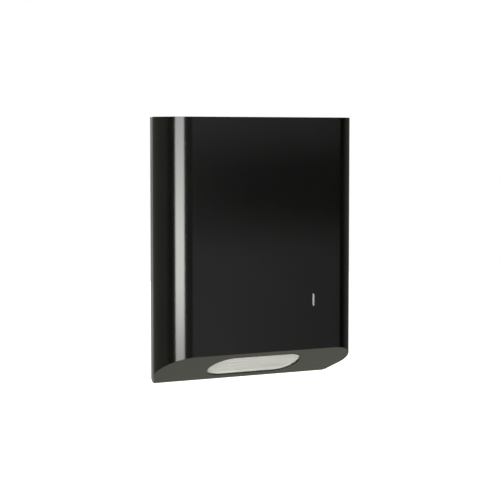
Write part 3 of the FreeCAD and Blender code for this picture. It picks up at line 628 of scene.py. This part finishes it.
def tray_back_and_flanges():
    """The tray: a pierced flat back, and outlines of it one depth after another. At a depth the sides and
    the top stand on their small bend circle, and the bottom on its large one."""
    plate_half = TRAY_HALF - TRAY_BEND
    plate_top = TOP - TRAY_BEND
    half_lines = window_lines(0, WINDOWS_ACROSS, plate_half, 2)
    across = np.concatenate([-half_lines[:0:-1], half_lines])
    up = window_lines(BEND_HEIGHT, WINDOWS_UP, plate_top, 3)
    round_holes = [(spot, SCREW_RADIUS) for spot in SCREW_HOLES]
    round_holes += [(spot, RIVET_RADIUS) for spot in GUIDE_RIVETS + BRACKET_RIVETS]
    holes = [(spot, 0.0, radius, window_round(*spot)) for spot, radius in round_holes]
    flat, faces = pierced_net(across, up, holes)
    number = np.arange(len(up) * len(across)).reshape(len(up), len(across))
    rim = np.concatenate([number[0, :-1], number[:-1, -1], number[-1, :0:-1], number[:0:-1, 0]])
    turn = np.linspace(0, math.pi / 2, 6)[1:]
    straight = lines(TRAY_BEND, (0.0045, 3), (BEND_RADIUS, 4), (TRAY_DEPTH, 2))[1:]
    depths = np.concatenate([TRAY_BEND * (1 - np.cos(turn)), straight])[:, None]
    bend = np.sqrt(np.maximum(TRAY_BEND ** 2 - np.maximum(TRAY_BEND - depths, 0) ** 2, 0))
    low = BEND_HEIGHT - np.sqrt(BEND_RADIUS ** 2 - (depths - BEND_RADIUS) ** 2)
    share = (flat[rim, 1] - BEND_HEIGHT) / (plate_top - BEND_HEIGHT)
    x = flat[rim, 0] / plate_half * (plate_half + bend)
    z = low + share * (plate_top + bend - low)
    flanges = np.stack([x, np.broadcast_to(-depths, x.shape), z], -1)
    points = np.concatenate([np.stack([flat[:, 0], np.zeros(len(flat)), flat[:, 1]], -1),
                             flanges.reshape(-1, 3)])
    loops = np.concatenate([rim[None], len(flat) + np.arange(x.size).reshape(x.shape)])
    strips = loops.reshape(-1)[net(*loops.shape, loop=True)]
    piece = make_piece("tray_back_and_flanges", points, np.concatenate([faces[:, ::-1], strips]), "root",
                       GREY_PAINT, ["wall_tray"], "grey_steel")
    thicken(piece, TRAY_SHEET, TRAY_EDGE)


tray_back_and_flanges()


# ---------------------------------------------------------------- rivets and pins

FORWARD = (0, -1, 0)
RIGHT = (1, 0, 0)
UP_OFF_SLOPE = (0, math.sin(SLOPE), math.cos(SLOPE))

CRADLE_RIVETS = [on_slope(side * RIVET_X, way, CRADLE_LIFT) for side in (-1, 1)
                 for way in (0.03528, SLOT_MIDDLE)]
STRIKER_RIVETS = [(GUIDE_X, y, -0.0875) for y in (-0.0555, -0.0485)]
TAB_RIVETS = [(KEY_X, -LEVER_REAR, KEY_HEIGHT + rise) for rise in (-0.0122, 0.0122)]

# Profiles, from the axis out and along: (radius, way from the start).
TAB_RIVET = [(0, 0), (0.00157, 0), (0.00157, 0.0050), (0.0015, 0.0052), (0, 0.0052)]
HINGE_PIN = [(0, 0), (0.0010, 0), (0.0016, 0.0006), (0.0016, 0.0070), (0.0030, 0.0070), (0.0030, 0.0078),
             (0.0027, 0.0081), (0.0018, 0.0082), (0, 0.0082)]


def headed_rivet(grip):
    """Profile with a flush end, a shank, and a head whose low dome is a quarter ellipse on a short side."""
    side = 0.0002
    turn = np.linspace(0, math.pi / 2, 7)
    dome = np.stack([RIVET_HEAD * np.cos(turn), grip + side + (RIVET_RISE - side) * np.sin(turn)], -1)
    shank = RIVET_RADIUS - RIVET_PLAY
    return [(0, 0), (shank, 0), (shank, grip), (RIVET_HEAD, grip), *dome[:-1], (0, grip + RIVET_RISE)]


def turned_parts(name, node, profile, starts, direction, body="root"):
    """The turned parts of one CAD node, as one piece."""
    points, faces = turned(profile, starts, direction)
    make_piece(name, points, faces, body, BARE_STEEL, [node], "bare_steel", closed=True, crease=40)


for node, grip, starts, direction in (
        ("guide_rivets", TRAY_SHEET + GUIDE_SHEET, [(x, 0, z) for x, z in GUIDE_RIVETS], FORWARD),
        ("bracket_rivets", TRAY_SHEET + BRACKET_SHEET, [(x, 0, z) for x, z in BRACKET_RIVETS], FORWARD),
        ("cradle_rivets", CRADLE_SHEET + GUIDE_SHEET, CRADLE_RIVETS, UP_OFF_SLOPE),
        ("striker_rivets", GUIDE_SHEET + STRIKER_SHEET, STRIKER_RIVETS, RIGHT)):
    turned_parts(f"{node}_domed", node, headed_rivet(grip), starts, direction)

turned_parts("tab_rivets_flush", "tab_rivets", TAB_RIVET, TAB_RIVETS, FORWARD, "latch")
for side, word in ((-1, "left"), (1, "right")):
    turned_parts(f"hinge_pin_{word}_turned", f"hinge_pin_{word}", HINGE_PIN,
                 [(side * BRACKET_X, -HINGE_DEPTH, HINGE_HEIGHT)], (side, 0, 0))


# ---------------------------------------------------------------- folded towels

rng = np.random.default_rng(7)


def pile_height(share, depth):
    """Height in the pile: from the slanted foot at share 0 to the level top at share 1."""
    return (1 - share) * slope_height(depth, TOWEL_FOOT) + share * TOWEL_TOP


def towel_pile(first_share, count=96, columns=25, fold=6, panel=7):
    """Folded towels one on another. Each is a flat loop of depth and height, half round at its two folds,
    carried across its width. The folds stand back by a little that differs from towel to towel, and the
    front ones also wave along their length. Gives points, faces and the numbers of points by loop."""
    across = np.linspace(-1, 1, columns)
    turn = np.linspace(-math.pi / 2, math.pi / 2, fold)
    flat = np.linspace(0.06, 0.94, panel)
    loop_depth = np.concatenate([np.ones(fold), flat[::-1], np.zeros(fold), flat])
    loop_out = np.concatenate([np.cos(turn), np.zeros(panel), -np.cos(turn), np.zeros(panel)])
    loop_rise = np.concatenate([(np.sin(turn) + 1) / 2, np.ones(panel), (1 - np.sin(turn)) / 2,
                                np.zeros(panel)])
    front = 0.0006 + 0.0008 * rng.random((count, 1, 1))
    rear = 0.0005 + 0.0006 * rng.random((count, 1, 1))
    wave = 0.0004 * np.sin(across[None, :, None] * (2 + 3 * rng.random((count, 1, 1)))
                           + 6 * rng.random((count, 1, 1)))
    round_out = 0.0007
    low_depth = TOWEL_REAR + rear + round_out
    high_depth = TOWEL_FRONT - front - round_out + np.minimum(wave, 0)
    depth = low_depth + (high_depth - low_depth) * loop_depth + round_out * loop_out
    step = (1 - first_share) / count
    squash = 0.06 + 0.05 * rng.random((count, 1, 1))
    height = np.arange(count)[:, None, None] + squash / 2 + (1 - squash) * loop_rise
    half = TOWEL_HALF - 0.0002 - 0.0009 * rng.random((count, 1, 1))
    z = pile_height(first_share + step * height, np.maximum(depth, CRADLE_REAR))
    x = np.broadcast_to(across[None, :, None] * half, z.shape)
    points = np.stack([x, -depth, z], -1).reshape(-1, 3)
    number = np.arange(len(points)).reshape(z.shape)
    faces = net(columns, z.shape[2], loop=True) + number[:, :1, :1]
    return points, faces.reshape(-1, 4), number


def make_pile():
    """The pile above its lowest towel; each towel's two ends are closed by one face."""
    points, faces, number = towel_pile(0.030)
    ends = number[:, 0, ::-1].tolist() + number[:, -1].tolist()
    mesh = bpy.data.meshes.new("towel_pile")
    mesh.from_pydata(points.tolist(), [], faces.tolist() + ends)
    with reworked(mesh) as work:
        bmesh.ops.recalc_face_normals(work, faces=work.faces)
    pile = finish_piece("towel_pile", mesh, "root", WHITE_PAPER, ["towel_stack"], crease=60)


def smooth(share):
    """Eases from 0 to 1 as the share goes from 0 to 1."""
    share = np.clip(share, 0, 1)
    return share * share * (3 - 2 * share)


def slot_sag(x, way):
    """How far the lowest towel hangs into the cradle's opening: nothing outside a slot shape with round
    ends, the full sag a little inside it, deeper towards both ends. Along the rim a lip, up to 6 mm wide,
    hangs lower at the rear and higher at the left and front, with a shallow trough beside it."""
    straight = OPENING_HALF - OPENING_RADIUS
    out_x = x - np.clip(x, -straight, straight)
    out_way = way - SLOT_MIDDLE
    reach = np.hypot(out_x, out_way)
    inside = OPENING_RADIUS - reach
    lip = 1 - smooth((inside - 0.0035) / 0.006) + 0.45 * smooth((inside - 0.0095) / 0.0045)
    toward = np.maximum(-out_way, 0) - np.maximum(-out_x, 0) - 0.5 * np.maximum(out_way, 0)
    level = 0.0021 + 0.0009 * (smooth((x - 0.04) / 0.03) + smooth((-0.05 - x) / 0.02))
    return smooth(inside / 0.0026) * (level + 0.0012 * lip * toward / np.maximum(reach, 0.02))


def lowest_towel():
    """One towel in three panels: a path of way and lift goes forward, back and forward again, half round
    at its two folds, and is carried across the width; every panel sags into the cradle's opening."""
    low_way, high_way = 0.0185, 0.0925
    layer = 0.0007                  # from one panel up to the next
    foot = 0.00535                  # lift of the lowest panel where it doesn't sag
    fine, coarse = 84, 40           # points along the lowest panel and the other two
    turn = np.linspace(-math.pi / 2, math.pi / 2, 7)[1:-1]
    rise = layer / 2 * (1 + np.sin(turn))
    way = np.concatenate([np.linspace(low_way, high_way, fine), high_way + layer / 2 * np.cos(turn),
                          np.linspace(high_way, low_way, coarse), low_way - layer / 2 * np.cos(turn),
                          np.linspace(low_way, high_way, coarse)])
    lift = foot + np.concatenate([np.zeros(fine), rise, np.full(coarse, layer), layer + rise,
                                  np.full(coarse, 2 * layer)])
    half = TOWEL_HALF - 0.0006
    x, way = np.meshgrid(np.linspace(-half, half, 240), way)
    points = np.stack(on_slope(x, way, lift[:, None] - slot_sag(x, way)), -1).reshape(-1, 3)
    piece = make_piece("lowest_towel", points, net(*x.shape), "root", WHITE_PAPER, slot="paper")
    wall = piece.modifiers.new("paper", "SOLIDIFY")
    wall.thickness = 0.0002
    wall.offset = 0


make_pile()
lowest_towel()


# ---------------------------------------------------------------- bent and cut parts from the frame

for node in ("side_guide_left", "side_guide_right", "towel_cradle", "hinge_bracket_left",
             "hinge_bracket_right", "striker", "hinge_ear_left", "hinge_ear_right", "latch_lever",
             "latch_stud", "latch_spacer", "latch_clip", "latch_stops", "hinge_clips"):
    rounded_node(node, BARE_STEEL)
rounded_node("latch_tab", BRIGHT_STEEL, edge=0.0006)
for node in ("hinge_bush_left", "hinge_bush_right"):
    rounded_node(node, WHITE_PLASTIC, edge=0.0002)
rounded_node("cover_buffers", BLACK_RUBBER, edge=0.0008)

for item in frame["nodes"].values():
    item.data.materials.clear()
    item.data.materials.append(BARE_STEEL)


# ---------------------------------------------------------------- soft light

WHITE = (1.0, 1.0, 1.0, 1.0)

SOFTBOX_TURN = math.radians(35.6)  # from straight ahead round to the left
SOFTBOX_SIDE = Vector((-math.sin(SOFTBOX_TURN), -math.cos(SOFTBOX_TURN), 0))
SOFTBOX_DISTANCE = 2.5
SOFTBOX_WIDTH = 1.40

# The upright softbox's bands: lower and upper edge, level, and how much blue is left in its white.
SOFTBOX_BANDS = [(-0.62, -0.43, 7.0, 1.0), (-0.43, -0.36, 11.2, 1.0), (-0.36, -0.13, 15.2, 0.95),
                 (-0.13, -0.02, 13.8, 0.95), (-0.02, 0.10, 12.0, 0.95), (0.10, 0.32, 10.0, 1.0)]


def aim(item, place, target):
    """Puts a lamp or the camera at a place, looking at a target."""
    item.location = place
    item.rotation_mode = "QUATERNION"
    item.rotation_quaternion = (Vector(target) - Vector(place)).to_track_quat("-Z", "Y")


def soft_light(name, place, target, width, height, power, color=(1.0, 1.0, 1.0)):
    """Rectangular lamp that the camera doesn't see."""
    lamp = bpy.data.lights.new(name, "AREA")
    lamp.shape = "RECTANGLE"
    lamp.size = width
    lamp.size_y = height
    lamp.energy = power
    lamp.color = color
    item = bpy.data.objects.new(name, lamp)
    bpy.context.scene.collection.objects.link(item)
    aim(item, place, target)
    item.visible_camera = False


for number, (low, high, level, blue) in enumerate(SOFTBOX_BANDS):
    middle = Vector((0, 0, (low + high) / 2))
    soft_light(f"softbox_band_{number}", SOFTBOX_SIDE * SOFTBOX_DISTANCE + middle, middle, SOFTBOX_WIDTH,
               high - low, level * math.pi * SOFTBOX_WIDTH * (high - low), (1.0, 1.0, blue))
soft_light("top_softbox", (0.2, -0.6, 2.3), (0, 0, -0.3), 2.4, 2.4, 22.0)


# ---------------------------------------------------------------- floor, card and world

def ramp_of(tree, value, start, finish, low, high):
    """Value that goes smoothly from low to high as another goes from start to finish."""
    inputs = {"Value": value, "From Min": start, "From Max": finish, "To Min": low, "To Max": high}
    change = add_node(tree, "ShaderNodeMapRange", inputs, interpolation_type="SMOOTHSTEP")
    return change.outputs["Result"]


def between(tree, share, low, high):
    """Value between low and high by a share from 0 to 1."""
    change = add_node(tree, "ShaderNodeMapRange", {"Value": share, "To Min": low, "To Max": high})
    return change.outputs["Result"]


def math_of(tree, operation, first, second):
    """One value worked out of two."""
    return add_node(tree, "ShaderNodeMath", {0: first, 1: second}, operation=operation).outputs[0]


def axes_of(tree, place):
    """The X, Y and Z of a place or direction."""
    return add_node(tree, "ShaderNodeSeparateXYZ", {0: place}).outputs


def mix_of(tree, factor, first, second):
    """The second shader where the factor is 1, the first where it is 0."""
    return add_node(tree, "ShaderNodeMixShader", {0: factor, 1: first, 2: second}).outputs[0]


def empty_tree(owner):
    """The node tree of a material or world, without nodes."""
    owner.use_nodes = True
    owner.node_tree.nodes.clear()
    return owner.node_tree


def room_group():
    """Level of the dim room that gloss sees in a direction: paler to the left, dark towards the front."""
    tree, start, end = new_group("dim room", {"Direction": ("Vector", None)}, {"Level": "Float"})
    axes = axes_of(tree, start["Direction"])
    sideways = ramp_of(tree, axes["X"], -0.9, 0.4, 0.225, 0.14)
    ahead = ramp_of(tree, axes["Y"], -0.40, 0.08, 0.06, 1.0)
    tree.links.new(math_of(tree, "MULTIPLY", sideways, ahead), end["Level"])
    return tree


ROOM = room_group()
ROOM_TINT = (1.0, 1.02, 0.84, 1.0)


def stage_plane(name, points, material):
    """Four-sided plane of the studio, no part of the object."""
    mesh = bpy.data.meshes.new(name)
    mesh.from_pydata(points, [], [(0, 1, 2, 3)])
    mesh.materials.append(material)
    item = bpy.data.objects.new(name, mesh)
    bpy.context.scene.collection.objects.link(item)
    item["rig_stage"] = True
    return item


def floor_material():
    """Pale floor. The camera sees it lifted to white, less so near the part, where its shadow falls. Gloss
    sees it pale under the part and as dim as the room farther away."""
    material = bpy.data.materials.new("pale_floor")
    tree = empty_tree(material)
    ray = tree.nodes.new("ShaderNodeLightPath").outputs
    place = tree.nodes.new("ShaderNodeTexCoord").outputs["Object"]
    away = add_node(tree, "ShaderNodeVectorMath", {0: place}, operation="LENGTH").outputs["Value"]
    direction = add_node(tree, "ShaderNodeVectorMath", {0: place}, operation="NORMALIZE").outputs["Vector"]
    base = add_node(tree, "ShaderNodeBsdfDiffuse", {"Color": (0.50, 0.50, 0.485, 1.0)})
    lift = math_of(tree, "MULTIPLY", ramp_of(tree, away, 0.6, 1.25, 0.58, 1.0), ray["Is Camera Ray"])
    white = add_node(tree, "ShaderNodeEmission", {"Color": WHITE, "Strength": lift})
    lifted = add_node(tree, "ShaderNodeAddShader", {0: base.outputs[0], 1: white.outputs[0]})
    room = add_node(tree, "ShaderNodeGroup", {"Direction": direction}, node_tree=ROOM).outputs["Level"]
    level = between(tree, ramp_of(tree, away, 0.95, 1.7, 1.0, 0.0), room, 0.40)
    pale = add_node(tree, "ShaderNodeEmission", {"Color": ROOM_TINT, "Strength": level})
    seen = mix_of(tree, ray["Is Glossy Ray"], lifted.outputs[0], pale.outputs[0])
    add_node(tree, "ShaderNodeOutputMaterial", {"Surface": seen})
    return material


def card_material():
    """Dim card that only gloss sees: pale above and below a darker band, fading to its right, and one
    low level on its left end."""
    material = bpy.data.materials.new("dim_card")
    tree = empty_tree(material)
    axes = axes_of(tree, tree.nodes.new("ShaderNodeTexCoord").outputs["Object"])
    outside_band = math_of(tree, "ADD", ramp_of(tree, axes["Z"], 0.09, 0.20, 0.0, 1.0),
                           ramp_of(tree, axes["Z"], 0.035, -0.07, 0.0, 1.0))
    band_level = ramp_of(tree, axes["X"], 0.15, 0.40, 0.20, 0.07)
    level = math_of(tree, "MULTIPLY", between(tree, outside_band, band_level, 0.45),
                    ramp_of(tree, axes["X"], 0.18, 0.52, 1.05, 0.64))
    strength = between(tree, ramp_of(tree, axes["X"], 0.045, 0.070, 0.0, 1.0), 0.14, level)
    glow = add_node(tree, "ShaderNodeEmission", {"Color": WHITE, "Strength": strength})
    add_node(tree, "ShaderNodeOutputMaterial", {"Surface": glow.outputs[0]})
    return material


def studio_world():
    """White for the camera. Gloss sees a dim warm studio, dark towards the front and paler to the left,
    and everything else a plain fill that is stronger from the left and from behind."""
    world = bpy.data.worlds.new("studio")
    tree = empty_tree(world)
    ray = tree.nodes.new("ShaderNodeLightPath").outputs
    direction = tree.nodes.new("ShaderNodeTexCoord").outputs["Generated"]
    axes = axes_of(tree, direction)
    level = math_of(tree, "ADD", ramp_of(tree, axes["X"], -1.0, -0.15, 2.4, 0.22),
                    ramp_of(tree, axes["Y"], 0.2, 1.0, 0.0, 0.8))
    fill = add_node(tree, "ShaderNodeBackground", {"Color": WHITE, "Strength": level})
    room = add_node(tree, "ShaderNodeGroup", {"Direction": direction}, node_tree=ROOM).outputs["Level"]
    gloss = add_node(tree, "ShaderNodeBackground", {"Color": ROOM_TINT, "Strength": room})
    white = add_node(tree, "ShaderNodeBackground", {"Color": WHITE})
    light = mix_of(tree, ray["Is Glossy Ray"], fill.outputs[0], gloss.outputs[0])
    through = math_of(tree, "MAXIMUM", ray["Is Camera Ray"], ray["Is Transmission Ray"])
    seen = mix_of(tree, through, light, white.outputs[0])
    add_node(tree, "ShaderNodeOutputWorld", {"Surface": seen})
    bpy.context.scene.world = world


FLOOR_HEIGHT = -0.65
FLOOR_HALF = 6.0
FLOOR_TURN = ((-1, -1), (1, -1), (1, 1), (-1, 1))
stage_plane("floor", [(x * FLOOR_HALF, y * FLOOR_HALF, FLOOR_HEIGHT) for x, y in FLOOR_TURN],
            floor_material())

CARD_LEFT, CARD_RIGHT = (-0.4137, -1.1257), (0.69, -0.489)
CARD_HALF = 0.6
card = stage_plane("front_card", [(*CARD_LEFT, -CARD_HALF), (*CARD_RIGHT, -CARD_HALF),
                                  (*CARD_RIGHT, CARD_HALF), (*CARD_LEFT, CARD_HALF)], card_material())
card.visible_camera = False
card.visible_diffuse = False
card.visible_shadow = False

studio_world()
bpy.context.scene.view_settings.view_transform = "Standard"


# ---------------------------------------------------------------- camera

YAW = math.radians(28.5)
PITCH = math.radians(4.054)
camera = bpy.data.objects.new("camera", bpy.data.cameras.new("camera"))
bpy.context.scene.collection.objects.link(camera)
camera.data.sensor_width = 36.0
camera.data.lens = 115.5
camera_place = Vector((-1.1266, -2.1151, 0.1593))
look = Vector((math.sin(YAW) * math.cos(PITCH), math.cos(YAW) * math.cos(PITCH), -math.sin(PITCH)))
aim(camera, camera_place, camera_place + look)
bpy.context.scene.camera = camera

low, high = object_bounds()
